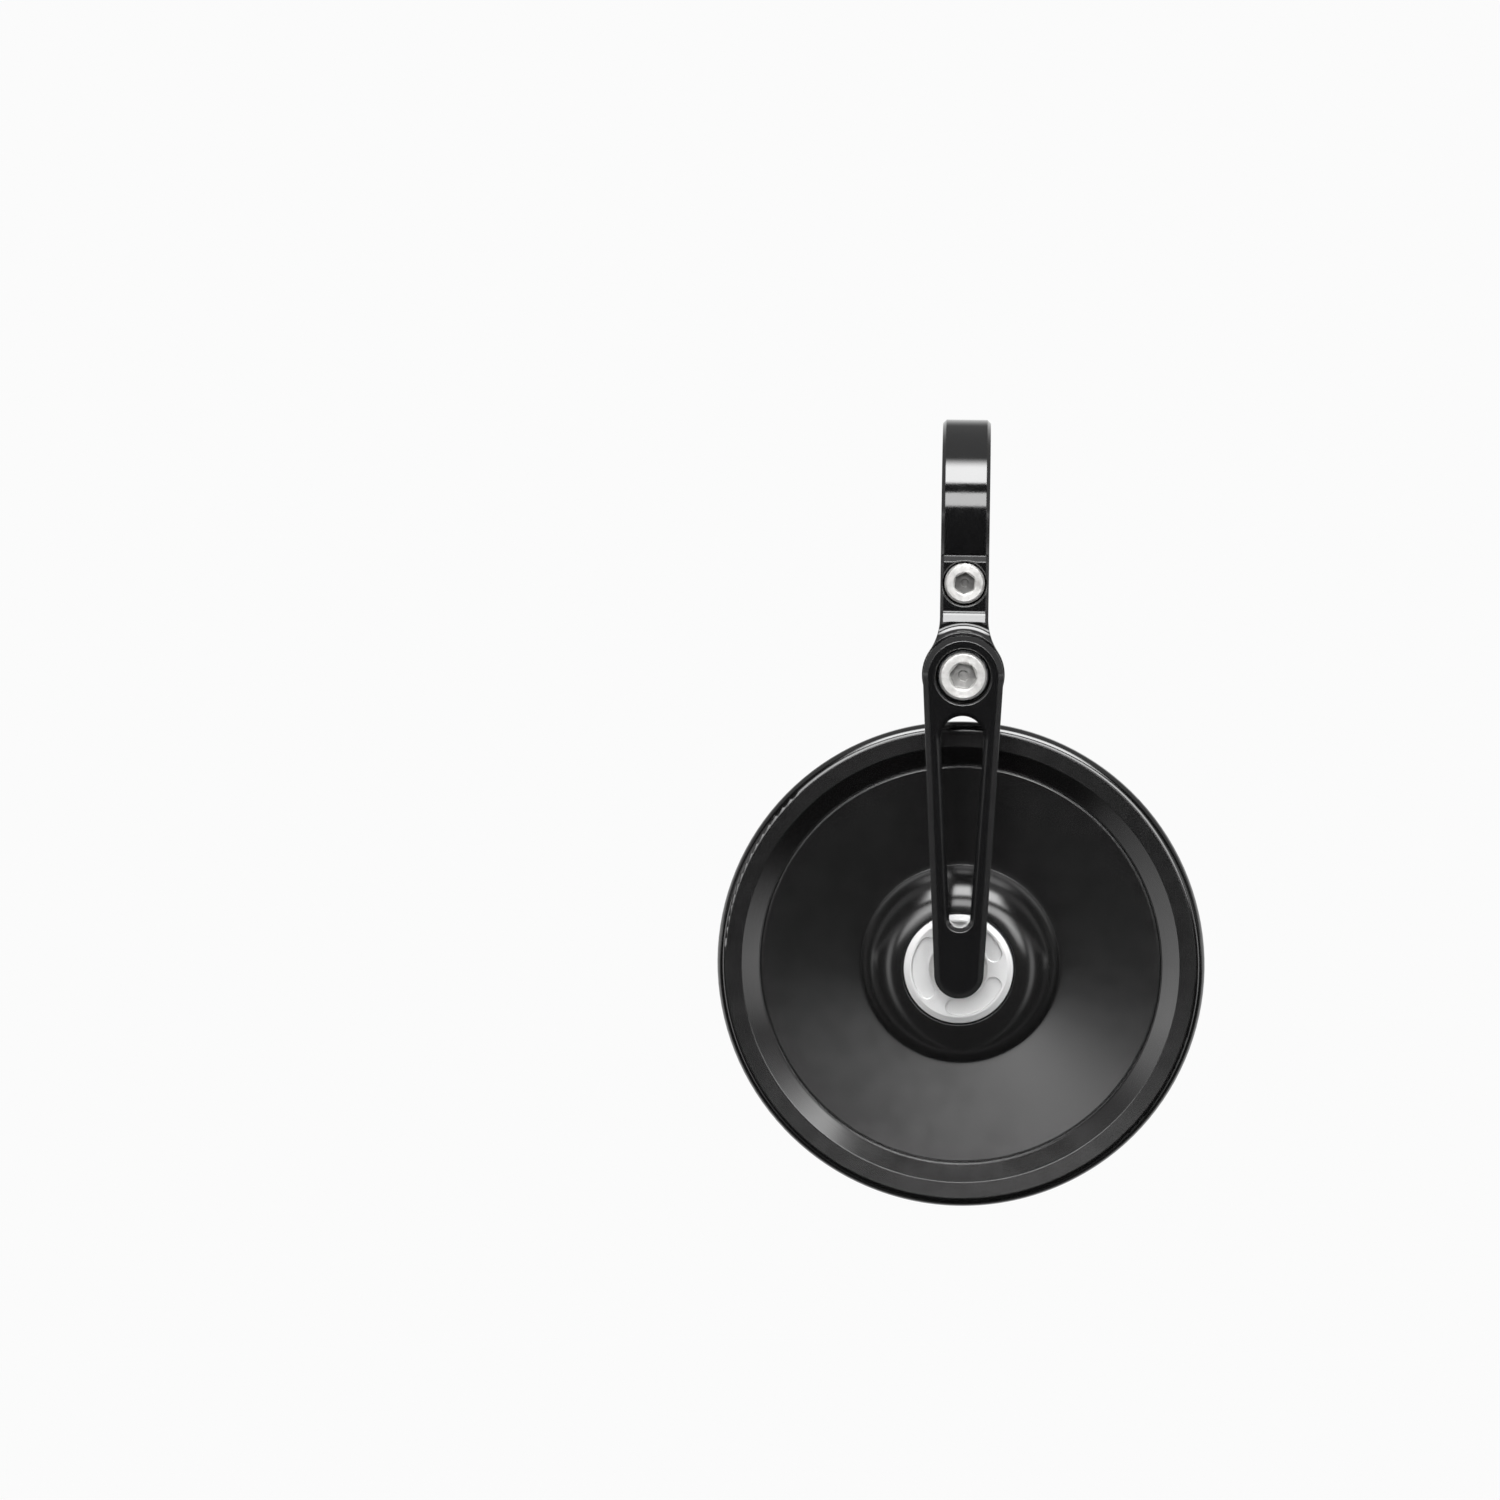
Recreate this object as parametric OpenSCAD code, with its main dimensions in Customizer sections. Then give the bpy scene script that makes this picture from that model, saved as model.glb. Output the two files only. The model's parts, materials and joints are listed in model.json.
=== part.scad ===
// Round mirror for a handlebar: a split clamp with a neck and an eye, a windowed arm that turns on
// a pivot screw, and a dished head that turns on a ball at the arm's lower end.
// The origin is the centre of the clamp's bore. +X runs along the bar, +Y towards the rider, whom
// the glass faces, and +Z is up. All sizes are in millimetres.

/* [Clamp] */
// Diameter of the handlebar that the clamp grips
bar_d = 22.2; // [19:0.1:28.6]
// Thickness of the clamp's ring round the bar
ring_wall = 9.1; // [8.6:0.1:12]
// Width of the clamp along the bar
clamp_w = 10.2; // [10:0.1:14]
// Bevel on the outer edges of the ring
ring_bevel = 0.75; // [0.3:0.05:1.2]
// Bevel on the edges of the ears and the neck
ear_bevel = 0.65; // [0.2:0.05:0.9]
// Gap between the front ear and the rear ear
slit_w = 1.5; // [1:0.1:2.5]
// Length of the rear ear from the bar's axis
rear_ear_l = 13; // [12:0.5:16]
// Distance from the clamp screw's axis down to the underside of the ears
ear_foot = 6.9; // [6.2:0.1:9]
// Distance from the underside of the ears down to the pivot
pivot_drop = 12.2; // [12:0.1:20]

/* [Arm] */
// Distance from the pivot down to the ball
arm_l = 62.6; // [58:0.2:90]
// Thickness of the arm
arm_t = 6; // [5.6:0.1:8]
// Radius of the arm's upper end, and of the clamp's eye behind it
arm_top_r = 8.46; // [8.2:0.02:10]
// Radius of the arm's lower end
arm_end_r = 5.2; // [4.8:0.1:7]
// Radius of the window's upper end
window_top_r = 4.5; // [3:0.1:5]
// Radius of the window's lower end
window_end_r = 2.2; // [1.6:0.1:3]
// Bevel on the front edges of the arm
arm_bevel = 1.1; // [0.3:0.05:1.3]
// Bevel on the front edge of the window
window_bevel = 0.85; // [0.3:0.05:1]
// Bevel on the arm's back edges
back_bevel = 0.4; // [0.2:0.05:0.6]

/* [Ball joint] */
// Diameter of the ball
ball_d = 10; // [9.6:0.1:10.4]
// Distance from the arm's back to the ball's centre
ball_reach = 7.6; // [7.6:0.1:10]
// Diameter of the adjuster nut's flange
nut_d = 23.2; // [22.6:0.2:26]
// Depth of the recesses for the pin spanner in the adjuster nut
recess_depth = 0.7; // [0.4:0.05:1]
// Turn of the head about the upright, as it is stored
head_yaw = -2.3; // [-6:0.1:6]

/* [Head] */
// Diameter of the head at its rim
head_d = 104; // [98:1:125]
// Radius of the rounding on the rim's back edge
rim_round = 2; // [1.5:0.1:2.4]
// Width of the flat shoulder inside the rounding
shoulder_w = 3.3; // [2:0.1:6]
// Width of the turned band inside the shoulder
band_w = 3.9; // [3:0.1:6]
// Radius of the rounding on the dome
dome_round = 9.1; // [8:0.1:9.4]
// Depth of the head from its shoulder to its front edge
head_depth = 8.6; // [8.4:0.1:9]
// Radius of the glass's bulging face
glass_curve = 1200; // [800:50:2000]

/* [Fits] */
// Play round a screw in a threaded hole
thread_gap = 0.05; // [0.02:0.01:0.1]
// Play round a screw in a plain hole
hole_gap = 0.1; // [0.1:0.05:0.3]
// Play between parts that turn against each other
turning_gap = 0.05; // [0.02:0.01:0.08]
// Gap between the glass and the lip round it
glass_gap = 0.2; // [0.1:0.05:0.5]

/* [Hidden] */
$fn = 96;
eps = 0.01;
// Share of a round end's radius at which a side line meets it, so that the two truly cross
crossing = 0.9975;
// How far a bevelling cut runs past the surfaces that it joins
overrun = 0.25;
cos30 = cos(30);

// Clamp screw: a socket head in a counterbore, a little below the front ear's face
clamp_screw_d = 5;
clamp_screw_l = 25;
clamp_head_d = 8.5;
clamp_head_sink = 0.1;
clamp_hex = 4;
clamp_hex_turn = 35;
screw_wall = 0.4;
clamp_bore_r = clamp_head_d / 2 + 0.4;
mouth_bevel = 0.3;

// Ring and ears
bar_r = bar_d / 2;
ring_r = bar_r + ring_wall;
bore_bevel = 0.4;
ear_setback = 0.8;
ear_front_y = -(ring_r - ear_setback);
ear_corner = 3;
ramp_top_z = -8.3;
ramp_top_y = -sqrt(pow(ring_r, 2) - pow(ramp_top_z, 2));
ramp_foot_z = -9.6;
screw_z = -(bar_r + screw_wall + hole_gap + clamp_screw_d / 2);
ear_z = screw_z - ear_foot;
screw_seat_y = ear_front_y + clamp_head_sink + clamp_screw_d;

// Neck, which slopes forward under the front ear, and the eye at its foot
neck_round = 1.7;
neck_lean = 33;
neck_step = 2.6;
neck_z = ear_z + 1.2;
neck_back_round = 7.5;
eye_l = 6.5;
eye_r = arm_top_r + 0.24;
eye_front_y = ear_front_y - neck_step;
eye_back_y = eye_front_y + eye_l;
pivot_z = ear_z - pivot_drop;
flare_round = 12;
flare_x = clamp_w / 2 + flare_round;
flare_z = pivot_z + sqrt(pow(eye_r + flare_round, 2) - pow(flare_x, 2));

// Round-bottomed groove turned about the pivot, which leaves the eye standing as a boss
groove_round = 2.3;
eye_groove_r = eye_r + groove_round;
eye_groove_depth = 1.45;

// Where the neck's slope starts, and how far its bevelled side edges run down it
slope_y = ear_front_y - neck_round * (1 - crossing * cos(neck_lean));
slope_z = neck_z - neck_round * crossing * sin(neck_lean);
slope_l = (slope_y - eye_front_y) / sin(neck_lean);
groove_side_z = pivot_z + sqrt(pow(eye_groove_r + 0.3, 2) - pow(clamp_w / 2, 2));
slope_edge_l = min(slope_l, (slope_z - groove_side_z) / cos(neck_lean));

// Pivot, from the eye's front face towards the front
pivot_screw_d = 6;
pivot_head_d = 10;
pivot_head_h = 3.6;
pivot_hex = 5;
pivot_hex_turn = 9.3;
washer_t = 0.55;
bush_r = pivot_screw_d / 2 + 0.9;
disc_spring_t = 0.35;
disc_spring_rise = 0.1;
arm_floor = 1.2;
pivot_bore_r = pivot_head_d / 2 + 0.8;
arm_back_y = eye_front_y - washer_t - turning_gap;
arm_front_y = arm_back_y - arm_t;
arm_floor_y = arm_back_y - arm_floor;
pivot_seat_y = arm_floor_y - turning_gap - disc_spring_t;
pivot_screw_l = eye_back_y - pivot_seat_y - 0.3;

// Arm and its window
ball_z = pivot_z - arm_l;
window_top_z = pivot_z - 12.8;
window_end_z = ball_z + 11.9;
stud_d = 6;
stud_l = 4.4;
stud_hole_l = 4.6;

// Ball joint on its own axis: w runs from the ball's centre towards the glass
ball_r = ball_d / 2;
ball_y = arm_back_y + ball_reach;
neck_d = 5.2;
collar_t = 1.2;
collar_hex = 8;
seat_in_r = ball_r + turning_gap;
seat_out_r = seat_in_r + 0.95;
socket_r = seat_out_r + turning_gap;
rear_seat_w = seat_in_r * cos(64);
rear_seat_hole_r = 1.9;
front_seat_w = -seat_out_r * cos(62);
front_seat_foot_w = -seat_in_r * cos(76);

// Adjuster nut, with three kidney-shaped recesses
nut_r = nut_d / 2;
nut_face_w = -3.6;
nut_seat_w = -0.6;
nut_foot_w = 1.6;
nut_thread_r = 9;
nut_mouth_r = 6.2;
nut_edge_w = 1.2;
nut_edge_h = 0.35;
recess_in_r = 6.5;
recess_out_r = 9.9;
recess_web = 24;

// Pressure cup and its spring, behind the rear seat
cup_top_w = 2.2;
cup_foot_w = 6;
cup_r = nut_thread_r - 0.2;
cup_hole_r = 2.5;
spring_in_r = 4.2;
spring_out_r = 7;
spring_rise = 0.2;
spring_t = 0.4;
pocket_w = cup_foot_w + spring_rise + spring_t;

// Head housing, in the same w
head_r = head_d / 2;
shoulder_top_w = 2.2;
shoulder_fall = 0.25;
band_slope = 19.8;
groove_w = 0.4;
groove_depth = 0.35;
dish_slope = 5.6;
shoulder_r = head_r - rim_round;
band_r = shoulder_r - shoulder_w;
groove_r = band_r - band_w;
band_top_w = shoulder_top_w + shoulder_fall;
dish_w = band_top_w + band_w * tan(band_slope);
dome_r = 21.2;
dome_core_r = dome_r - dome_round;
dome_foot_w = dish_w + (groove_r - groove_w - dome_r) * tan(dish_slope);
dome_top_w = dome_foot_w - dome_round;
dome_bevel = 0.35;
side_w = shoulder_top_w + rim_round + 0.8;
side_round = 10.2;
front_w = shoulder_top_w + head_depth;
nut_well_r = nut_r + 0.15;
floor_w = pocket_w + 1.4;

// Glass and pad
lip_t = 0.8;
lip_bevel = 0.25;
lip_r = head_r - side_round + sqrt(pow(side_round, 2) - pow(front_w - side_w, 2)) - lip_t;
glass_r = lip_r - glass_gap;
pad_t = 0.5;
pad_inset = 1.2;
glass_w = floor_w + pad_t;
glass_edge = 1.7;
glass_bevel = 0.3;
glass_steps = 24;

// Colours
black_anodised = [0.06, 0.06, 0.065];
steel = [0.75, 0.76, 0.78];
nut_silver = [0.82, 0.83, 0.84];
seat_white = [0.88, 0.88, 0.85];
spring_steel = [0.45, 0.46, 0.48];
mirror_silver = [0.85, 0.88, 0.9];
pad_grey = [0.25, 0.25, 0.26];

// Extrudes an outline drawn in Y and Z along X, over a width centred on the clamp
module along_x(w) {
    rotate([90, 0, 90]) translate([0, 0, -w / 2]) linear_extrude(w) children();
}

// Extrudes an outline drawn in X and Z along Y, from y0 to y1
module along_y(y0, y1) {
    translate([0, y1, 0]) rotate([90, 0, 0]) linear_extrude(y1 - y0) children();
}

// Turns a solid made along +Z so that it runs along +Y from a point
module facing_rider(y, z) {
    translate([0, y, z]) rotate([-90, 0, 0]) children();
}

// Places a solid of the head: its +Z is w, and its origin is the ball's centre
module at_head() {
    translate([0, ball_y, ball_z]) rotate([0, 0, head_yaw]) rotate([-90, 0, 0]) children();
}

// A bar of diamond section along an edge from p to q, which bevels the edge when cut away. The
// sum of the outward normals of the edge's two faces is given as away.
module edge_cut(p, q, bevel, away) {
    run = q - p;
    side = (bevel + overrun) * sqrt(2);
    translate(p + away * overrun / 2) rotate([0, acos(run.z / norm(run)), atan2(run.y, run.x)])
        rotate([0, 0, 45]) translate([0, 0, norm(run) / 2])
            cube([side, side, norm(run)], center = true);
}

// A countersink of 45 degrees, from a hole of radius r outwards through a face at z = 0
module mouth_cut(r, bevel) {
    translate([0, 0, -1])
        cylinder(h = bevel + overrun + 1, r1 = r + bevel + 1, r2 = r - overrun);
}

// A cap screw along +Z with its seat at zero and a hexagon socket with a bevelled mouth
module socket_screw(d, head_d, head_h, l, hex, hex_depth, pilot_r, turn) {
    edge = 0.45;
    tip = 0.7;
    corner_r = hex / 2 / cos30;
    difference() {
        rotate_extrude() polygon([
            [0, -head_h], [head_d / 2 - edge, -head_h], [head_d / 2, -head_h + edge],
            [head_d / 2, 0], [d / 2, 0], [d / 2, l - tip], [d / 2 - tip, l], [0, l]]);
        translate([0, 0, -head_h - 1]) rotate([0, 0, turn])
            cylinder(h = hex_depth + 1, r = corner_r, $fn = 6);
        translate([0, 0, -head_h]) mouth_cut(hex / 2, corner_r - hex / 2 + 0.1);
        translate([0, 0, -head_h]) cylinder(h = hex_depth + 0.6, r = pilot_r);
    }
}

// Outline of the ears, the neck and the eye, seen along the bar
module clamp_side() {
    difference() {
        polygon([[0, 0], [ramp_top_y, ramp_top_z], [ear_front_y, ramp_foot_z],
                 [ear_front_y, ear_z], [rear_ear_l, ear_z], [rear_ear_l, 0]]);
        // round lower corner of the rear ear
        translate([rear_ear_l - ear_corner, ear_z + ear_corner]) difference() {
            translate([0, -ear_corner - 1]) square(ear_corner + 1);
            circle(ear_corner);
        }
    }
    // the neck's sloping front, with a hollow rounding under the ear
    past_y = eye_front_y - 1;
    difference() {
        translate([eye_front_y, pivot_z - eye_r]) square([eye_l, neck_z - pivot_z + eye_r]);
        translate([ear_front_y - neck_round, neck_z]) circle(neck_round);
        polygon([[ear_front_y - neck_round, neck_z], [slope_y, slope_z],
                 [past_y, slope_z - (slope_y - past_y) / tan(neck_lean)], [past_y, neck_z + 1],
                 [ear_front_y - neck_round, neck_z + 1]]);
    }
    // the hollow behind the neck, up to the underside of the ears
    difference() {
        translate([eye_back_y - eps, ear_z - neck_back_round])
            square([neck_back_round, neck_back_round + eps]);
        translate([eye_back_y + neck_back_round, ear_z - neck_back_round]) circle(neck_back_round);
    }
}

// Outline of the ears, the neck and the eye, seen from the front
module clamp_front() {
    touch = eye_r / (eye_r + flare_round);
    touch_x = flare_x * touch;
    touch_z = pivot_z + (flare_z - pivot_z) * touch;
    translate([-clamp_w / 2, pivot_z]) square([clamp_w, -pivot_z]);
    translate([0, pivot_z]) circle(eye_r);
    difference() {
        translate([-touch_x, touch_z]) square([touch_x * 2, flare_z - touch_z]);
        for (side = [-1, 1]) translate([side * flare_x, flare_z]) circle(flare_round);
    }
}

// Bevels on one side of the ears: the ramp, the front edge, the neck's rounding and slope, and
// the rear edge
module ear_cuts(side) {
    x = side * clamp_w / 2;
    foot = [x, ear_front_y, ramp_foot_z];
    top = [x, ramp_top_y, ramp_top_z];
    ramp = (top - foot) / norm(top - foot);
    slope = [x, slope_y, slope_z];
    down = [0, -sin(neck_lean), -cos(neck_lean)];
    rear_top_z = overrun - sqrt(pow(ring_r, 2) - pow(rear_ear_l, 2));
    edge_cut(top + ramp * overrun, foot - ramp * overrun, ear_bevel, [side, -ramp.z, ramp.y]);
    edge_cut(foot + [0, 0, overrun], [x, ear_front_y, neck_z], ear_bevel, [side, -1, 0]);
    edge_cut([x, rear_ear_l, rear_top_z], [x, rear_ear_l, ear_z + ear_corner], ear_bevel,
             [side, 1, 0]);
    translate([x, ear_front_y - neck_round, neck_z]) rotate([0, side * 90, 0])
        translate([0, 0, -ear_bevel])
            cylinder(h = ear_bevel + 1, r1 = neck_round, r2 = neck_round + ear_bevel + 1);
    edge_cut(slope, slope + down * slope_edge_l, ear_bevel,
             [side, -cos(neck_lean), sin(neck_lean)]);
}

module clamp_body() color(black_anodised) {
    difference() {
        union() {
            rotate([0, 90, 0]) rotate_extrude() polygon([
                [0, -clamp_w / 2], [ring_r - ring_bevel, -clamp_w / 2],
                [ring_r, ring_bevel - clamp_w / 2], [ring_r, clamp_w / 2 - ring_bevel],
                [ring_r - ring_bevel, clamp_w / 2], [0, clamp_w / 2]]);
            intersection() {
                along_x(eye_r * 3) clamp_side();
                along_y(eye_front_y - 1, rear_ear_l + 1) clamp_front();
            }
        }
        for (side = [-1, 1]) ear_cuts(side);
        // bore for the bar, with bevelled mouths
        rotate([0, 90, 0]) cylinder(h = clamp_w + 2, r = bar_r, center = true);
        for (side = [-1, 1]) translate([side * clamp_w / 2, 0, 0])
            rotate([0, side * -90, 0]) mouth_cut(bar_r, bore_bevel);
        // slit between the ears
        translate([-clamp_w, -slit_w / 2, ear_z - 1]) cube([clamp_w * 2, slit_w, 1 - ear_z]);
        // clamp screw: counterbore and plain hole in front, threaded hole behind
        facing_rider(ear_front_y, screw_z) {
            translate([0, 0, -1]) cylinder(h = screw_seat_y - ear_front_y + 1, r = clamp_bore_r);
            mouth_cut(clamp_bore_r, mouth_bevel);
            cylinder(h = -ear_front_y, r = clamp_screw_d / 2 + hole_gap);
        }
        facing_rider(-eps, screw_z)
            cylinder(h = rear_ear_l + 1, r = clamp_screw_d / 2 + thread_gap);
        facing_rider(rear_ear_l, screw_z) mirror([0, 0, 1])
            mouth_cut(clamp_screw_d / 2 + thread_gap, mouth_bevel);
        // groove round the eye
        facing_rider(eye_front_y, pivot_z) rotate_extrude()
            translate([eye_groove_r, eye_groove_depth - groove_round]) circle(groove_round);
        // threaded hole for the pivot screw
        facing_rider(eye_front_y - 1, pivot_z)
            cylinder(h = eye_l + 2, r = pivot_screw_d / 2 + thread_gap);
    }
}

module clamp_screw() color(steel) {
    facing_rider(screw_seat_y, screw_z)
        socket_screw(clamp_screw_d, clamp_head_d, clamp_screw_d, clamp_screw_l, clamp_hex, 2.6,
                     0.8, clamp_hex_turn);
}

// Plastic washer between the clamp's eye and the arm's back
module friction_washer() color(seat_white) {
    facing_rider(eye_front_y - washer_t, pivot_z) difference() {
        cylinder(h = washer_t, r = arm_top_r - 0.6);
        translate([0, 0, -1]) cylinder(h = washer_t + 2, r = pivot_screw_d / 2 + hole_gap);
    }
}

// Conical spring washer between the screw's head and the floor of the arm's counterbore
module pivot_disc_spring() color(spring_steel) {
    in_r = pivot_screw_d / 2 + hole_gap;
    out_r = pivot_head_d / 2 + 0.3;
    t = disc_spring_t - disc_spring_rise;
    facing_rider(pivot_seat_y, pivot_z) rotate_extrude() polygon([
        [in_r, 0], [out_r, disc_spring_rise], [out_r, disc_spring_t], [in_r, t]]);
}

module pivot_screw() color(steel) {
    facing_rider(pivot_seat_y, pivot_z)
        socket_screw(pivot_screw_d, pivot_head_d, pivot_head_h, pivot_screw_l, pivot_hex, 2.2,
                     1.1, pivot_hex_turn);
}

// Half the angle between the sides of an upright slot with a large and a small end
function slot_lean(top_z, top_r, end_z, end_r) = asin((top_r - end_r) * crossing / (top_z - end_z));

// The point where the slot's right-hand side meets an end of radius r
function slot_corner(z, r, lean) = [crossing * r * cos(lean), z - crossing * r * sin(lean)];

// The part of the slot between the centres of its ends
module slot_middle(top_z, top_r, end_z, end_r) {
    lean = slot_lean(top_z, top_r, end_z, end_r);
    top = slot_corner(top_z, top_r, lean);
    end = slot_corner(end_z, end_r, lean);
    polygon([top, [-top.x, top.y], [-end.x, end.y], end]);
}

// Bevels the long edges of such a slot in the face at y. The face looks along facing, 1 or -1 in
// Y. On a solid the cuts lie outside the slot, at outward 1; on a window inside it, at -1.
module slot_side_cuts(y, facing, outward, top_z, top_r, end_z, end_r, bevel, past) {
    lean = slot_lean(top_z, top_r, end_z, end_r);
    top = slot_corner(top_z, top_r, lean);
    end = slot_corner(end_z, end_r, lean);
    for (side = [-1, 1]) {
        p = [side * end.x, y, end.y];
        q = [side * top.x, y, top.y];
        along = past * (q - p) / norm(q - p);
        away = outward * [side * cos(lean), 0, -sin(lean)] + [0, facing, 0];
        edge_cut(p - along, q + along, bevel, away);
    }
}

// A disc through the arm's thickness, bevelled at both faces
module arm_end(z, r) {
    facing_rider(arm_front_y, z) rotate_extrude() polygon([
        [0, 0], [r - arm_bevel, 0], [r, arm_bevel], [r, arm_t - back_bevel],
        [r - back_bevel, arm_t], [0, arm_t]]);
}

// The window through the arm, with its bevels, as a solid to cut away
module arm_window() {
    along_y(arm_front_y - 1, arm_back_y + 1) {
        slot_middle(window_top_z, window_top_r, window_end_z, window_end_r);
        translate([0, window_top_z]) circle(window_top_r);
        translate([0, window_end_z]) circle(window_end_r);
    }
    for (end = [[window_top_z, window_top_r], [window_end_z, window_end_r]]) {
        facing_rider(arm_front_y, end[0]) mouth_cut(end[1], window_bevel);
        facing_rider(arm_back_y, end[0]) mirror([0, 0, 1]) mouth_cut(end[1], back_bevel);
    }
    slot_side_cuts(arm_front_y, -1, -1, window_top_z, window_top_r, window_end_z, window_end_r,
                   window_bevel, 0);
    slot_side_cuts(arm_back_y, 1, -1, window_top_z, window_top_r, window_end_z, window_end_r,
                   back_bevel, 0);
}

module arm() color(black_anodised) {
    difference() {
        union() {
            arm_end(pivot_z, arm_top_r);
            arm_end(ball_z, arm_end_r);
            difference() {
                along_y(arm_front_y, arm_back_y)
                    slot_middle(pivot_z, arm_top_r, ball_z, arm_end_r);
                slot_side_cuts(arm_front_y, -1, 1, pivot_z, arm_top_r, ball_z, arm_end_r,
                               arm_bevel, 1);
                slot_side_cuts(arm_back_y, 1, 1, pivot_z, arm_top_r, ball_z, arm_end_r,
                               back_bevel, 1);
            }
        }
        arm_window();
        // counterbore for the pivot screw's head, and the bush's hole in its floor
        facing_rider(arm_front_y, pivot_z) {
            translate([0, 0, -1]) cylinder(h = arm_t - arm_floor + 1, r = pivot_bore_r);
            mouth_cut(pivot_bore_r, mouth_bevel);
            cylinder(h = arm_t + 1, r = bush_r);
        }
        // blind threaded hole for the ball stud
        facing_rider(arm_back_y - stud_hole_l, ball_z)
            cylinder(h = stud_hole_l + 1, r = stud_d / 2 + thread_gap);
    }
}

// Plain bush in the arm, on which the arm turns about the pivot screw
module pivot_bush() color(seat_white) {
    facing_rider(arm_floor_y, pivot_z) difference() {
        cylinder(h = arm_floor, r = bush_r);
        translate([0, 0, -1]) cylinder(h = arm_floor + 2, r = pivot_screw_d / 2 + turning_gap);
    }
}

// Ball, neck, spanner collar and threaded shank, turned in one piece
module ball_stud() color(steel) {
    facing_rider(ball_y, ball_z) {
        sphere(ball_r);
        translate([0, 0, -ball_reach]) {
            cylinder(h = ball_reach - ball_r / 2, r = neck_d / 2);
            cylinder(h = collar_t, r = collar_hex / 2 / cos30, $fn = 6);
            translate([0, 0, -stud_l]) cylinder(h = stud_l + collar_t / 2, r = stud_d / 2);
        }
    }
}

// Section of a thin shell round the ball, from w0 to w1 and outside radius r0
module seat_section(w0, w1, r0) {
    intersection() {
        difference() {
            circle(seat_out_r);
            circle(seat_in_r);
        }
        translate([r0, w0]) square([seat_out_r, w1 - w0]);
    }
}

module rear_ball_seat() color(seat_white) {
    at_head() rotate_extrude() seat_section(rear_seat_w, seat_out_r, rear_seat_hole_r);
}

module front_ball_seat() color(seat_white) {
    at_head() rotate_extrude() seat_section(front_seat_w, front_seat_foot_w, 0);
}

// A kidney-shaped recess in the nut's face, centred on the given angle
module kidney_recess(angle) {
    mid_r = (recess_in_r + recess_out_r) / 2;
    end_r = (recess_out_r - recess_in_r) / 2;
    sweep = 120 - recess_web - 2 * asin(end_r / mid_r);
    rotate([0, 0, angle - sweep / 2]) translate([0, 0, nut_face_w - 1]) {
        rotate_extrude(angle = sweep)
            translate([recess_in_r, 0]) square([end_r * 2, recess_depth + 1]);
        for (end = [0, sweep]) rotate([0, 0, end]) translate([mid_r, 0, 0])
            cylinder(h = recess_depth + 1, r = end_r / crossing);
    }
}

// Flanged nut that holds the ball: a spherical socket opens to its foot
module adjuster_nut() color(nut_silver) {
    at_head() difference() {
        rotate_extrude() difference() {
            polygon([[0, nut_face_w], [nut_r - nut_edge_w, nut_face_w],
                     [nut_r, nut_face_w + nut_edge_h], [nut_r, nut_seat_w],
                     [nut_thread_r, nut_seat_w], [nut_thread_r, nut_foot_w], [0, nut_foot_w]]);
            circle(socket_r);
            square([socket_r, nut_foot_w + 1]);
            polygon([[0, nut_face_w - 1], [nut_mouth_r, nut_face_w - 1], [nut_mouth_r, nut_face_w],
                     [nut_mouth_r - 1.5, nut_face_w + 1.2], [0, nut_face_w + 1.2]]);
        }
        for (i = [0:2]) kidney_recess(60 + 120 * i);
    }
}

// Steel cup that the spring presses against the rear seat
module pressure_cup() color(steel) {
    at_head() rotate_extrude() difference() {
        translate([cup_hole_r, cup_top_w]) square([cup_r - cup_hole_r, cup_foot_w - cup_top_w]);
        circle(socket_r);
    }
}

module seat_spring() color(spring_steel) {
    at_head() rotate_extrude() polygon([
        [spring_in_r, cup_foot_w], [spring_out_r, cup_foot_w + spring_rise],
        [spring_out_r, pocket_w], [spring_in_r, cup_foot_w + spring_t]]);
}

// Section of the turned housing: dome, dish, band, shoulder, rounded rim and bulging side
module housing_section() {
    difference() {
        union() {
            polygon([[0, front_w], [0, dome_top_w], [dome_core_r, dome_top_w],
                     [dome_core_r, dome_foot_w], [dome_r, dome_foot_w],
                     [groove_r - groove_w, dish_w], [groove_r, dish_w], [band_r, band_top_w],
                     [shoulder_r, shoulder_top_w], [shoulder_r, front_w]]);
            translate([dome_core_r, dome_foot_w]) intersection() {
                circle(dome_round);
                translate([-eps, -dome_round]) square(dome_round + eps);
            }
            // rounded back edge of the rim, a short cylinder and the bulging side
            translate([shoulder_r, shoulder_top_w + rim_round]) intersection() {
                circle(rim_round);
                translate([-eps, -rim_round]) square(rim_round + eps);
            }
            translate([shoulder_r - eps, shoulder_top_w + rim_round])
                square([rim_round + eps, side_w - shoulder_top_w - rim_round]);
            intersection() {
                translate([head_r - side_round, side_w]) circle(side_round);
                translate([shoulder_r - 4, side_w]) square([rim_round + 4, front_w - side_w]);
            }
        }
        translate([groove_r - groove_w, dish_w - 1]) square([groove_w, groove_depth + 1]);
        translate([-1, floor_w]) square([lip_r + 1, front_w]);
        polygon([[lip_r - 1, front_w - lip_bevel - 1], [lip_r + lip_bevel + 1, front_w + 1],
                 [lip_r - 1, front_w + 1]]);
        // well for the nut's flange, and the bore behind it
        translate([-1, dome_top_w - 1]) square([nut_well_r + 1, nut_seat_w - dome_top_w + 1]);
        translate([-1, dome_top_w - 1])
            square([nut_thread_r + thread_gap + 1, pocket_w - dome_top_w + 1]);
        polygon([[nut_well_r - 1, dome_top_w + dome_bevel + 1],
                 [nut_well_r + dome_bevel + 1, dome_top_w - 1], [nut_well_r - 1, dome_top_w - 1]]);
    }
}

module head_housing() color(black_anodised) {
    at_head() rotate_extrude($fn = 180) housing_section();
}

module bonding_pad() color(pad_grey) {
    at_head() translate([0, 0, floor_w]) cylinder(h = pad_t, r = glass_r - pad_inset);
}

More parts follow.
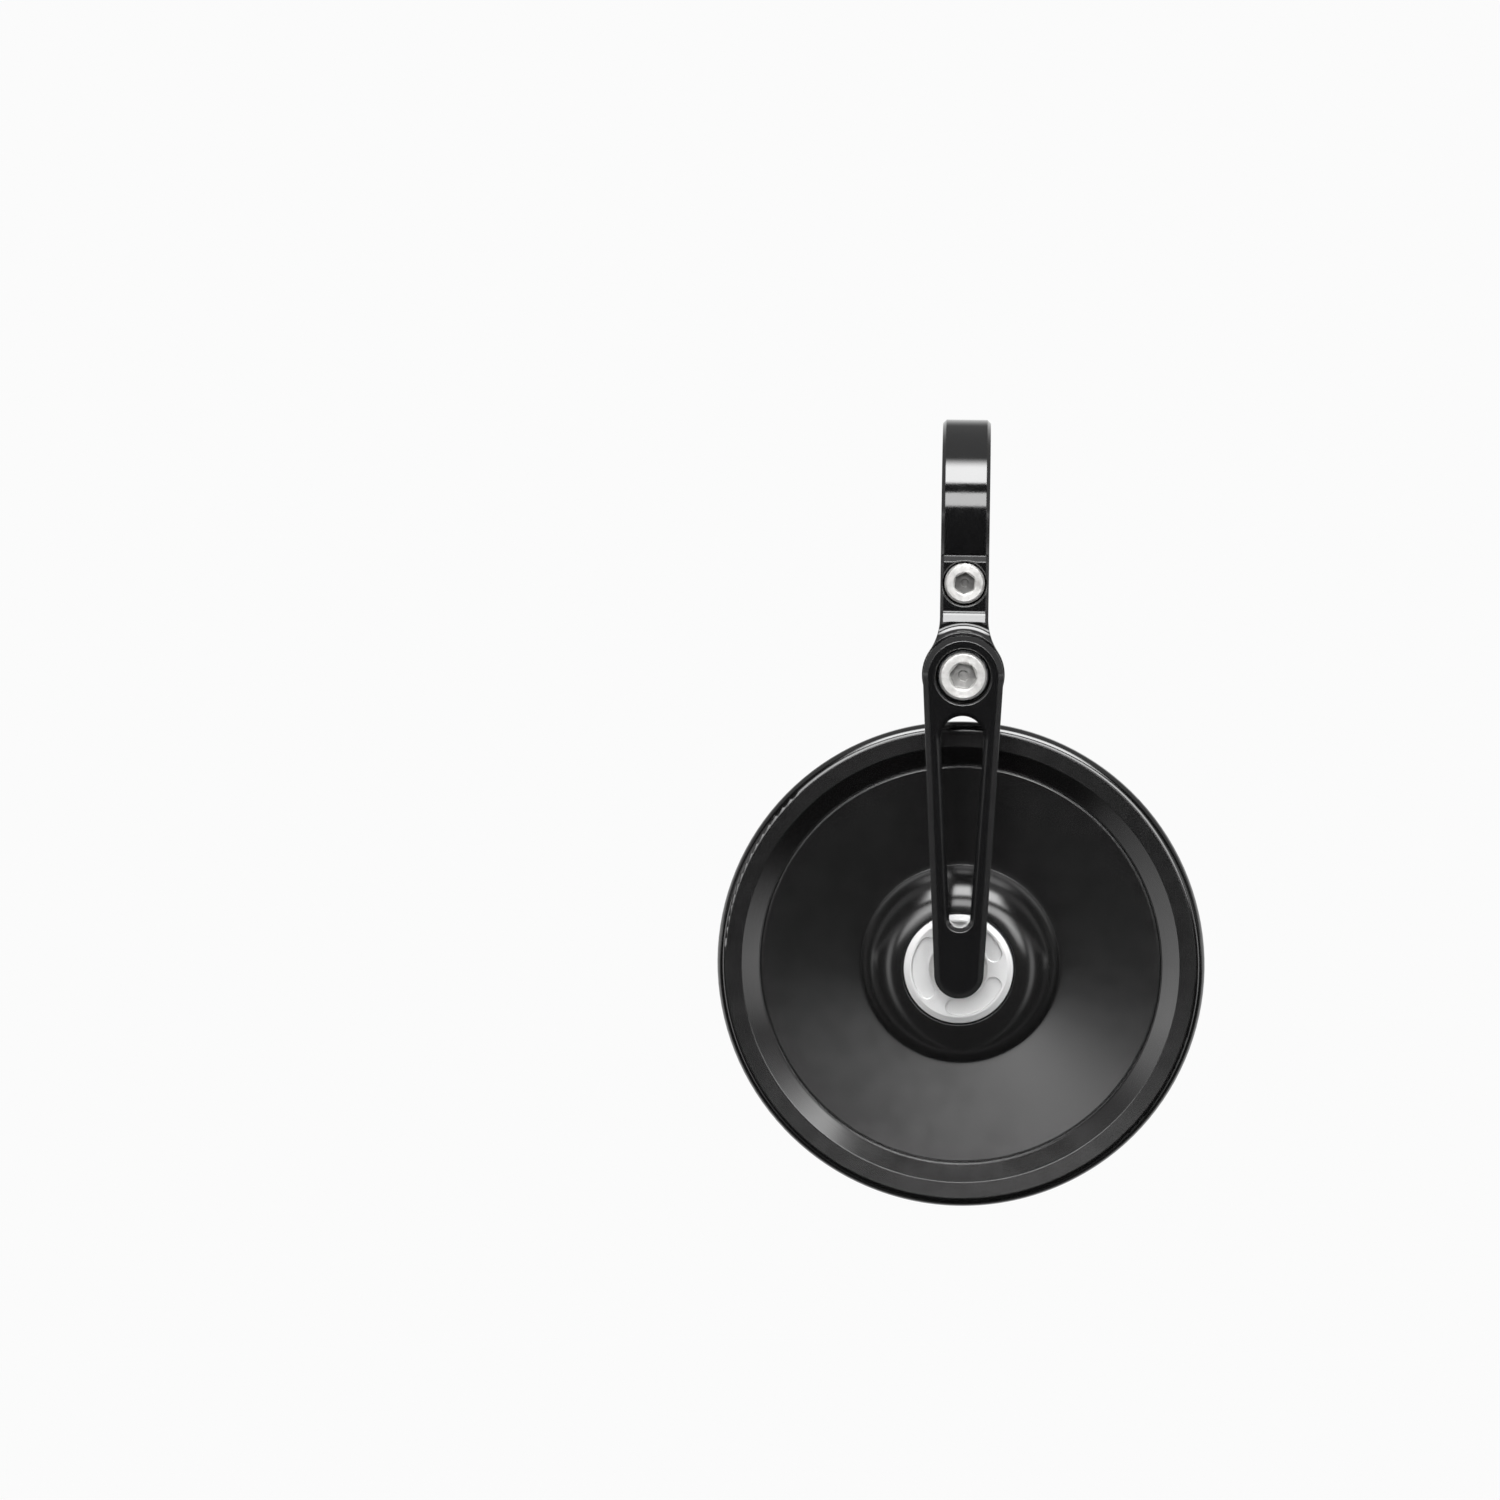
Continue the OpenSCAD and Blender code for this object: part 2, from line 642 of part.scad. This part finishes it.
// Height of the glass's face over its flat back, at a distance r from the middle
function glass_face(r) = glass_edge - sqrt(pow(glass_curve, 2) - pow(glass_r, 2))
    + sqrt(pow(glass_curve, 2) - pow(r, 2));

// Bulging glass: a flat back, a ground edge and a face of large radius
module mirror_glass() color(mirror_silver) {
    face_r = glass_r - glass_bevel;
    at_head() translate([0, 0, glass_w]) rotate_extrude($fn = 180) polygon(concat(
        [[0, 0], [glass_r - glass_bevel, 0], [glass_r, glass_bevel],
         [glass_r, glass_edge - glass_bevel]],
        [for (i = [glass_steps:-1:0]) [face_r * i / glass_steps, glass_face(face_r * i / glass_steps)]]));
}

clamp_body();
clamp_screw();
friction_washer();
pivot_disc_spring();
pivot_screw();
arm();
pivot_bush();
ball_stud();
rear_ball_seat();
front_ball_seat();
adjuster_nut();
pressure_cup();
seat_spring();
head_housing();
bonding_pad();
mirror_glass();
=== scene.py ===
import json
import math

import bpy
from mathutils import Matrix, Vector


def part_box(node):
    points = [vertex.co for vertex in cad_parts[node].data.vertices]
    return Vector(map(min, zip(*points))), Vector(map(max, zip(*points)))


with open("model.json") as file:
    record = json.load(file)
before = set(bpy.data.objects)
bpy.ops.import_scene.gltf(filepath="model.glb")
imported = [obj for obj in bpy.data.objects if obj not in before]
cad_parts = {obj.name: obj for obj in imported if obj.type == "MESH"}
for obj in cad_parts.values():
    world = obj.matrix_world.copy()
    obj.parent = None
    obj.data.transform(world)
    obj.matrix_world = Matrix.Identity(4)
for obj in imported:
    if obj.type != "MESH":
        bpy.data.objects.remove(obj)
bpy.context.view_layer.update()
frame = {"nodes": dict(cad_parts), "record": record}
nodes = frame["nodes"]
MM = 0.001
TO_MM = 1000

# Places in the frame, in metres
BALL = Vector((0.0, -0.015, -0.0958))
PIVOT = Vector((0.0, -0.0226, -0.0332))
SCREW = sum((Vector(corner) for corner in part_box("clamp_screw")), Vector()) / 2
# Turn of the stored head about the upright
HEAD_YAW = math.radians(-2.3)
# Radius of the glass's bulging face, in metres
GLASS_CURVE = 1.2
# Where the housing's dome, dish, band and shoulder end, in mm from the head's axis
DOME_R, DISH_R, BAND_R, SHOULDER_R = 21.2, 42.6, 46.7, 50.2
# The edges of the groove between dish and band, and how far they are shaded down, in mm
GROOVE_EDGES, GROOVE_BREAK = ((42.2, 42.4), (42.8, 43.0)), -0.06
# How much further the dish and the band are shaded to rise than the CAD's surfaces do, in mm
DISH_RISE, BAND_RISE = 0.42, 0.16
# Half the width in mm over which the look of one turned surface passes into the next
STEP_HALF = 0.1
# Radius in metres to which sharp edges are shaded as broken, and the samples that find them
EASE, EASE_SAMPLES = 0.22 * MM, 6
# The middle part of a noise's range, which is what it mostly fills
NOISE_LO, NOISE_HI = 0.3, 0.7
STEEL = (0.95, 0.94, 0.92)
# The floor and the background as they are seen directly
PALE = (0.965, 0.965, 0.965, 1)


# Node graphs
class Graph:
    """Builds a node tree from short calls; sockets and numbers both work as inputs."""

    def __init__(self, tree):
        self.tree = tree
        self.tree.nodes.clear()

    def put(self, socket, value):
        if isinstance(value, bpy.types.NodeSocket):
            self.tree.links.new(value, socket)
        else:
            socket.default_value = value

    def node(self, kind, inputs=None, **settings):
        n = self.tree.nodes.new(kind)
        for name, value in settings.items():
            setattr(n, name, value)
        for key, value in (inputs or {}).items():
            self.put(n.inputs[key], value)
        return n

    def math(self, operation, a, b=0.0):
        return self.node("ShaderNodeMath", {0: a, 1: b}, operation=operation).outputs[0]

    def plus(self, a, b):
        return self.math("ADD", a, b)

    def times(self, a, b):
        return self.math("MULTIPLY", a, b)

    def length(self, a, b):
        return self.math("SQRT", self.plus(self.times(a, a), self.times(b, b)))

    def vector(self, operation, a, b):
        return self.node("ShaderNodeVectorMath", {0: a, 1: b}, operation=operation).outputs[0]

    def split(self, vector):
        return self.node("ShaderNodeSeparateXYZ", {0: vector}).outputs

    def join(self, x=0.0, y=0.0, z=0.0):
        return self.node("ShaderNodeCombineXYZ", {0: x, 1: y, 2: z}).outputs[0]

    def mix(self, factor, a, b):
        return self.node("ShaderNodeMixShader", {0: factor, 1: a, 2: b}).outputs[0]

    def ramp(self, value, lo, hi, out_lo=0.0, out_hi=1.0, smooth=True):
        kind = "SMOOTHSTEP" if smooth else "LINEAR"
        n = self.node("ShaderNodeMapRange", interpolation_type=kind)
        for socket, v in zip(n.inputs, (value, lo, hi, out_lo, out_hi)):
            self.put(socket, v)
        return n.outputs[0]

    def fade(self, value, lo, hi, last=0.0):
        """1 up to lo, and falling softly to a last number at hi."""
        return self.ramp(value, lo, hi, 1.0, last)

    def band(self, value, lo, hi, edge):
        """1 between lo and hi, with soft edges of the given width."""
        rise = self.ramp(value, lo - edge / 2, lo + edge / 2)
        return self.times(rise, self.fade(value, hi - edge / 2, hi + edge / 2))

    def noise(self, vector, scale, detail=2.0):
        inputs = {"Vector": vector, "Scale": scale, "Detail": detail}
        return self.node("ShaderNodeTexNoise", inputs).outputs[0]

    def cloud(self, vector, scale, lo, hi, detail=3.0):
        """Noise that wanders between lo and hi."""
        return self.ramp(self.noise(vector, scale, detail), NOISE_LO, NOISE_HI, lo, hi)


def material(name):
    """A new material, the graph of its nodes, and its shader."""
    m = bpy.data.materials.new(name)
    m.use_nodes = True
    g = Graph(m.node_tree)
    g.surface = g.node("ShaderNodeOutputMaterial").inputs["Surface"]
    shader = g.node("ShaderNodeBsdfPrincipled")
    g.put(g.surface, shader.outputs[0])
    return m, g, shader


def dress(g, shader, inputs):
    """Sets or links inputs of the shader by their names."""
    for name, value in inputs.items():
        g.put(shader.inputs[name], value)


def position(g):
    """The point on the piece in the frame, in mm, which doesn't move with the pose."""
    point = g.node("ShaderNodeTexCoord").outputs["Object"]
    return g.vector("MULTIPLY", point, (TO_MM, TO_MM, TO_MM))


def to_world(g, vector, kind):
    """A direction on the piece turned with the pose."""
    return g.node("ShaderNodeVectorTransform", {0: vector}, vector_type=kind,
                  convert_from="OBJECT", convert_to="WORLD").outputs[0]


def round_axis(g, centre, turn=0.0):
    """The distance in mm from an axis along Y, turned about the upright, and the way outwards.

    The way outwards leaves the turn out, because it is small.
    """
    x, y, z = g.split(g.vector("SUBTRACT", position(g), centre * TO_MM))
    across = g.plus(g.times(x, math.cos(turn)), g.times(y, math.sin(turn)))
    return g.length(across, z), to_world(g, g.join(x=across, z=z), "VECTOR")


def steps(g, value, first, *edges):
    """A number that changes at each edge, given as pairs of place and new number."""
    total, last = first, first
    for place, new in edges:
        step = g.ramp(value, place - STEP_HALF, place + STEP_HALF, 0.0, new - last)
        total = g.plus(total, step)
        last = new
    return total


def bump(g, shader, height):
    """Relief of a height in mm, with every sharp edge broken by a hair so that it catches light."""
    eased = g.node("ShaderNodeBevel", {"Radius": EASE}, samples=EASE_SAMPLES).outputs[0]
    n = g.node("ShaderNodeBump", {"Height": height, "Distance": MM, "Normal": eased})
    g.put(shader.inputs["Normal"], n.outputs[0])


# Materials
def gloss_black():
    """Milled and polished black."""
    m, g, s = material("black_anodised")
    p = position(g)
    dress(g, s, {
        "Base Color": (0.006, 0.006, 0.0063, 1),
        "IOR": 2.0,
        "Roughness": g.cloud(p, 0.35, 0.06, 0.1, detail=4.0),
    })
    bump(g, s, g.times(g.noise(p, 9.0), 0.003))
    return m


def satin_black():
    """The turned housing: smooth dome, satin dish and shoulder, brighter cut band and rim."""
    m, g, s = material("black_turned")
    p = position(g)
    r, outward = round_axis(g, BALL, HEAD_YAW)
    grey = steps(g, r, 0.008, (DOME_R, 0.003))
    rough = steps(g, r, 0.17, (DOME_R, 0.25), (DISH_R, 0.13), (BAND_R, 0.26), (SHOULDER_R, 0.12))
    dress(g, s, {
        "Base Color": g.join(grey, grey, grey),
        "IOR": steps(g, r, 1.75, (DOME_R, 2.0)),
        "Roughness": g.times(rough, g.cloud(p, 0.25, 0.95, 1.05, detail=4.0)),
        "Anisotropic": 0.4,
        "Tangent": outward,
    })
    # Fine turned lines, the groove's broken edges, and the further rise of dish and band
    lines = g.noise(g.join(x=g.times(r, 3.0)), 1.0, 3.0)
    inner, outer = (g.band(r, *edge, 0.1) for edge in GROOVE_EDGES)
    height = g.plus(g.times(lines, 0.0015), g.times(g.plus(inner, outer), GROOVE_BREAK))
    height = g.plus(height, g.ramp(r, DOME_R, DISH_R, 0.0, DISH_RISE, smooth=False))
    height = g.plus(height, g.ramp(r, DISH_R, BAND_R, 0.0, BAND_RISE, smooth=False))
    bump(g, s, height)
    return m


def screw(name, centre, face_y, shank_r, socket_r, painted_socket_shade, pitch, threaded):
    """Bright steel round an axis, with a brushed face, painted shade in its socket and a thread, in
    mm.
    """
    m, g, s = material(name)
    p = position(g)
    r, outward = round_axis(g, centre)
    x, y, z = g.split(p)
    # Painted shade: colour darkened behind the face and near the axis, in the socket and the
    # shank's far end
    painted_shade_mask = g.times(g.ramp(y, face_y + 0.1, face_y + 0.9), g.fade(r, socket_r, socket_r + 0.1))
    painted_shade_and_tone = g.times(g.ramp(painted_shade_mask, 0.0, 1.0, 1.0, painted_socket_shade, smooth=False),
                    g.cloud(p, 1.2, 0.85, 1.0))
    colour = g.node("ShaderNodeVectorMath", {0: STEEL, "Scale": painted_shade_and_tone}, operation="SCALE")
    dress(g, s, {
        "Base Color": colour.outputs[0],
        "Metallic": 0.75,
        "Roughness": g.cloud(p, 0.8, 0.28, 0.42),
        "Anisotropic": 0.5,
        "Tangent": outward,
    })
    around = g.math("ARCTAN2", g.math("SUBTRACT", x, centre.x * TO_MM),
                    g.math("SUBTRACT", z, centre.z * TO_MM))
    turns = g.plus(g.times(y, 1 / pitch), g.times(around, 0.5 / math.pi))
    on_shank = g.times(g.band(r, shank_r - 0.4, shank_r + 0.2, 0.1), g.band(y, *threaded, 0.2))
    thread = g.times(g.math("PINGPONG", turns, 0.5), on_shank)
    bump(g, s, g.plus(g.times(thread, pitch * 0.6), g.times(g.noise(p, 6.0), 0.004)))
    return m


def metal(name, colour, rough, grain, depth, metallic=1.0):
    """Metal with a grain of so many spots to the mm, and of a depth in mm."""
    m, g, s = material(name)
    p = position(g)
    dress(g, s, {
        "Base Color": (*colour, 1),
        "Metallic": metallic,
        "Roughness": g.cloud(p, grain / 4, *rough),
    })
    bump(g, s, g.times(g.noise(p, grain), depth))
    return m


def plastic(name, colour, roughness):
    """Plastic or foam with a slightly uneven surface."""
    m, g, s = material(name)
    p = position(g)
    dress(g, s, {
        "Base Color": (*colour, 1),
        "Roughness": g.cloud(p, 1.5, roughness - 0.05, roughness + 0.05, detail=2.0),
    })
    bump(g, s, g.times(g.noise(p, 8.0), 0.01))
    return m


def mirror():
    """Silvered glass, shaded as the true sphere of its face inside the ground edge."""
    m, g, s = material("mirror_face")
    p = position(g)
    r = round_axis(g, BALL, HEAD_YAW)[0]
    axis = Vector((-math.sin(HEAD_YAW), math.cos(HEAD_YAW), 0))
    points = [v.co - BALL for v in nodes["mirror_glass"].data.vertices]
    top = max(point.dot(axis) for point in points)
    edge = max((point - point.dot(axis) * axis).length for point in points) * TO_MM
    ground = (edge - 0.45, edge - 0.35)
    centre = (BALL + axis * (top - GLASS_CURVE)) * TO_MM
    sphere = to_world(g, g.vector("SUBTRACT", p, centre), "NORMAL")
    facets = g.node("ShaderNodeNewGeometry").outputs["Normal"]
    # Inputs 4 and 5 of this node are the two vectors that it mixes
    normal = g.node("ShaderNodeMix", {0: g.fade(r, *ground), 4: facets, 5: sphere},
                    data_type="VECTOR").outputs[1]
    tint = g.cloud(p, 0.05, 0.86, 0.89)
    # The faint veil of dust that a mirror has, and a duller ground edge
    veil = g.ramp(g.noise(p, 0.4, 5.0), 0.4, 0.8, 0.015, 0.035)
    dress(g, s, {
        "Base Color": g.join(tint, g.times(tint, 1.015), g.times(tint, 1.03)),
        "Metallic": 1.0,
        "Roughness": g.math("MAXIMUM", veil, g.ramp(r, *ground, 0.0, 0.4)),
        "Normal": normal,
    })
    return m


LOOKS = {
    "black_anodised": gloss_black(),
    "black_satin": satin_black(),
    "silver_nut": metal("silver_blasted", colour=(0.84, 0.84, 0.84), rough=(0.42, 0.52),
                        grain=12.0, depth=0.012, metallic=0.7),
    "stainless": metal("stainless", colour=(0.8, 0.79, 0.77), rough=(0.3, 0.4),
                       grain=6.0, depth=0.003),
    "spring_steel": metal("spring_steel", colour=(0.32, 0.32, 0.34), rough=(0.25, 0.35),
                          grain=6.0, depth=0.004),
    "seat_plastic": plastic("seat_plastic", colour=(0.8, 0.8, 0.76), roughness=0.45),
    "pad_foam": plastic("pad_foam", colour=(0.03, 0.03, 0.03), roughness=0.8),
    "mirror_face": mirror(),
}
# Pieces with a thread; the ball stud has no socket, so it gets no painted shade
OWN_LOOKS = {
    "clamp_screw": screw("clamp_screw_steel", SCREW, face_y=-19.3, shank_r=2.5, socket_r=2.4,
                         painted_socket_shade=0.25, pitch=0.8, threaded=(-5, 30)),
    "pivot_screw": screw("pivot_screw_steel", PIVOT, face_y=-27.8, shank_r=3.0, socket_r=2.95,
                         painted_socket_shade=0.45, pitch=1.0, threaded=(-18, 30)),
    "ball_stud": screw("ball_stud_steel", BALL, face_y=-27.0, shank_r=3.0, socket_r=0.0,
                       painted_socket_shade=1.0, pitch=1.0, threaded=(-40, -23)),
}
for sub in frame["record"]["subparts"]:
    mesh = nodes[sub["node"]].data
    mesh.materials.clear()
    mesh.materials.append(OWN_LOOKS.get(sub["node"], LOOKS[sub["material_slot"]]))


# Floor
FLOOR_Z, FLOOR_SIZE = -0.32, 12.0
# Distances in metres between which the floor passes from mostly to fully glowing
GLOW_NEAR, GLOW_FAR, GLOW_FIRST = 0.15, 0.7, 0.6


def seen_directly(g):
    """The kinds of ray, and 1 for a ray that sees a thing directly or through glass."""
    rays = g.node("ShaderNodeLightPath").outputs
    return rays, g.math("MAXIMUM", rays["Is Camera Ray"], rays["Is Transmission Ray"])


def make_floor():
    """A pale floor, which glows where it is seen directly and keeps a soft shadow near by."""
    bpy.ops.mesh.primitive_plane_add(size=FLOOR_SIZE, location=(0, 0, FLOOR_Z))
    plane = bpy.context.object
    plane.name = "floor"
    m, g, s = material("floor")
    dress(g, s, {"Base Color": (0.9, 0.9, 0.9, 1), "Roughness": 0.9})
    x, y = g.split(g.node("ShaderNodeTexCoord").outputs["Object"])[:2]
    rays, seen = seen_directly(g)
    shown = g.times(seen, g.ramp(g.length(x, y), GLOW_NEAR, GLOW_FAR, GLOW_FIRST, 1.0))
    glow = g.node("ShaderNodeEmission", {"Color": PALE, "Strength": 1.0}).outputs[0]
    # Polished surfaces see the studio through it
    clear = g.node("ShaderNodeBsdfTransparent").outputs[0]
    near = g.mix(rays["Is Glossy Ray"], s.outputs[0], clear)
    g.put(g.surface, g.mix(shown, near, glow))
    plane.data.materials.append(m)
    return plane


# Studio
DEGREES = 180 / math.pi
# Strengths of the softboxes, of the ceiling, of the light from behind, and of the dark room in
# front and below
LOW, HIGH, APRON, SIDE, OVERHEAD, BEHIND, FRONT, BELOW = 4.4, 7.4, 3.2, 1.5, 0.26, 0.8, 0.02, 0.01
# Where they are, in degrees: heights over the horizon, sides from the camera, and widths from
# the upright middle plane
LOW_HEIGHTS, LOW_WIDTHS = (11, 27.3), (16, 32)
HIGH_RISE, HIGH_FALL, HIGH_WIDTHS = (38.2, 40.8), (59, 74), (20, 32)
APRON_HEIGHTS, APRON_WIDTHS = (2, 12), (11, 27)
SIDE_BOX, SIDE_WALL, SIDE_RISE, SIDE_FALL = (36, 47), (72, 86), (-50, -5), (0, 25)
OVERHEAD_RISE, OVERHEAD_FALL = (60, 75), (130, 165)
BEHIND_OVER, BEHIND_UNDER = (135, 168), (-135, -100)
HORIZON = (-10, 10)


def make_studio():
    """Softboxes in a dark room, and the white background for what sees it directly."""
    world = bpy.data.worlds.new("studio")
    bpy.context.scene.world = world
    world.use_nodes = True
    g = Graph(world.node_tree)
    dx, dy, dz = g.split(g.node("ShaderNodeTexCoord").outputs["Generated"])
    front = g.times(dy, -1.0)
    # Height of a direction, turned about the bar: 0 to the camera, 90 up, 180 away
    height = g.times(g.math("ARCTAN2", dz, front), DEGREES)
    side = g.math("ABSOLUTE", g.times(g.math("ARCTAN2", dx, front), DEGREES))
    wide = g.times(g.math("ARCSINE", g.math("ABSOLUTE", dx)), DEGREES)
    low_box = g.times(g.band(height, *LOW_HEIGHTS, 2), g.fade(wide, *LOW_WIDTHS, 0.05))
    high_box = g.times(g.ramp(height, *HIGH_RISE), g.fade(height, *HIGH_FALL))
    high_box = g.times(high_box, g.fade(wide, *HIGH_WIDTHS))
    apron = g.times(g.band(height, *APRON_HEIGHTS, 3), g.band(wide, *APRON_WIDTHS, 6))
    flank = g.math("MAXIMUM", g.band(side, *SIDE_BOX, 4), g.times(g.ramp(side, *SIDE_WALL), 0.7))
    side_heights = g.times(g.ramp(height, *SIDE_RISE, 0.1, 1.0), g.fade(height, *SIDE_FALL))
    side_box = g.times(flank, side_heights)
    overhead = g.times(g.ramp(height, *OVERHEAD_RISE), g.fade(height, *OVERHEAD_FALL))
    behind = g.math("MAXIMUM", g.ramp(height, *BEHIND_OVER), g.fade(height, *BEHIND_UNDER))
    total = 0.0
    for shape, strength in ((low_box, LOW), (high_box, HIGH), (apron, APRON), (side_box, SIDE),
                            (overhead, OVERHEAD), (behind, BEHIND)):
        total = g.plus(total, g.times(shape, strength))
    total = g.plus(total, g.ramp(height, *HORIZON, BELOW, FRONT))
    rays, seen = seen_directly(g)
    # Behind the object the white background is there for polished surfaces too
    seen = g.math("MAXIMUM", seen, g.times(rays["Is Glossy Ray"], behind))
    light = g.node("ShaderNodeBackground", {"Color": (1, 1, 1, 1), "Strength": total}).outputs[0]
    white = g.node("ShaderNodeBackground", {"Color": PALE, "Strength": 1.0}).outputs[0]
    g.node("ShaderNodeOutputWorld", {"Surface": g.mix(seen, light, white)})


# Camera
# Where the clamp's centre lies from it, in its own directions before the roll
AHEAD, RIGHT, UP = 1000.5 * MM, 45.66 * MM, 51.04 * MM
TURN, DOWN, ROLL = math.radians(-2.7), math.radians(4.26), math.radians(0.64)
# Focal length and width of the photograph's frame in its pixels, and the sensor's width in mm
FOCAL_PX, FRAME_PX, SENSOR = 4670.0, 1500, 36.0


def make_camera():
    """The view of the photograph, fitted to its edges."""
    unturn = Matrix.Rotation(-TURN, 3, "Z")
    ahead = unturn @ Vector((0, math.cos(DOWN), -math.sin(DOWN)))
    right = unturn @ Vector((1, 0, 0))
    up = unturn @ Vector((0, math.sin(DOWN), math.cos(DOWN)))
    place = -AHEAD * ahead - RIGHT * right - UP * up
    right, up = (right * math.cos(ROLL) + up * math.sin(ROLL),
                 up * math.cos(ROLL) - right * math.sin(ROLL))
    camera = bpy.data.objects.new("camera", bpy.data.cameras.new("camera"))
    bpy.context.scene.collection.objects.link(camera)
    camera.data.sensor_width = SENSOR
    camera.data.lens = FOCAL_PX / FRAME_PX * SENSOR
    camera.data.clip_start = 0.01
    camera.data.clip_end = 50
    turned = Matrix((right, up, -ahead)).transposed().to_4x4()
    camera.matrix_world = Matrix.Translation(place) @ turned
    bpy.context.scene.camera = camera


floor = make_floor()
make_studio()
make_camera()
bpy.context.scene.view_settings.view_transform = "Standard"
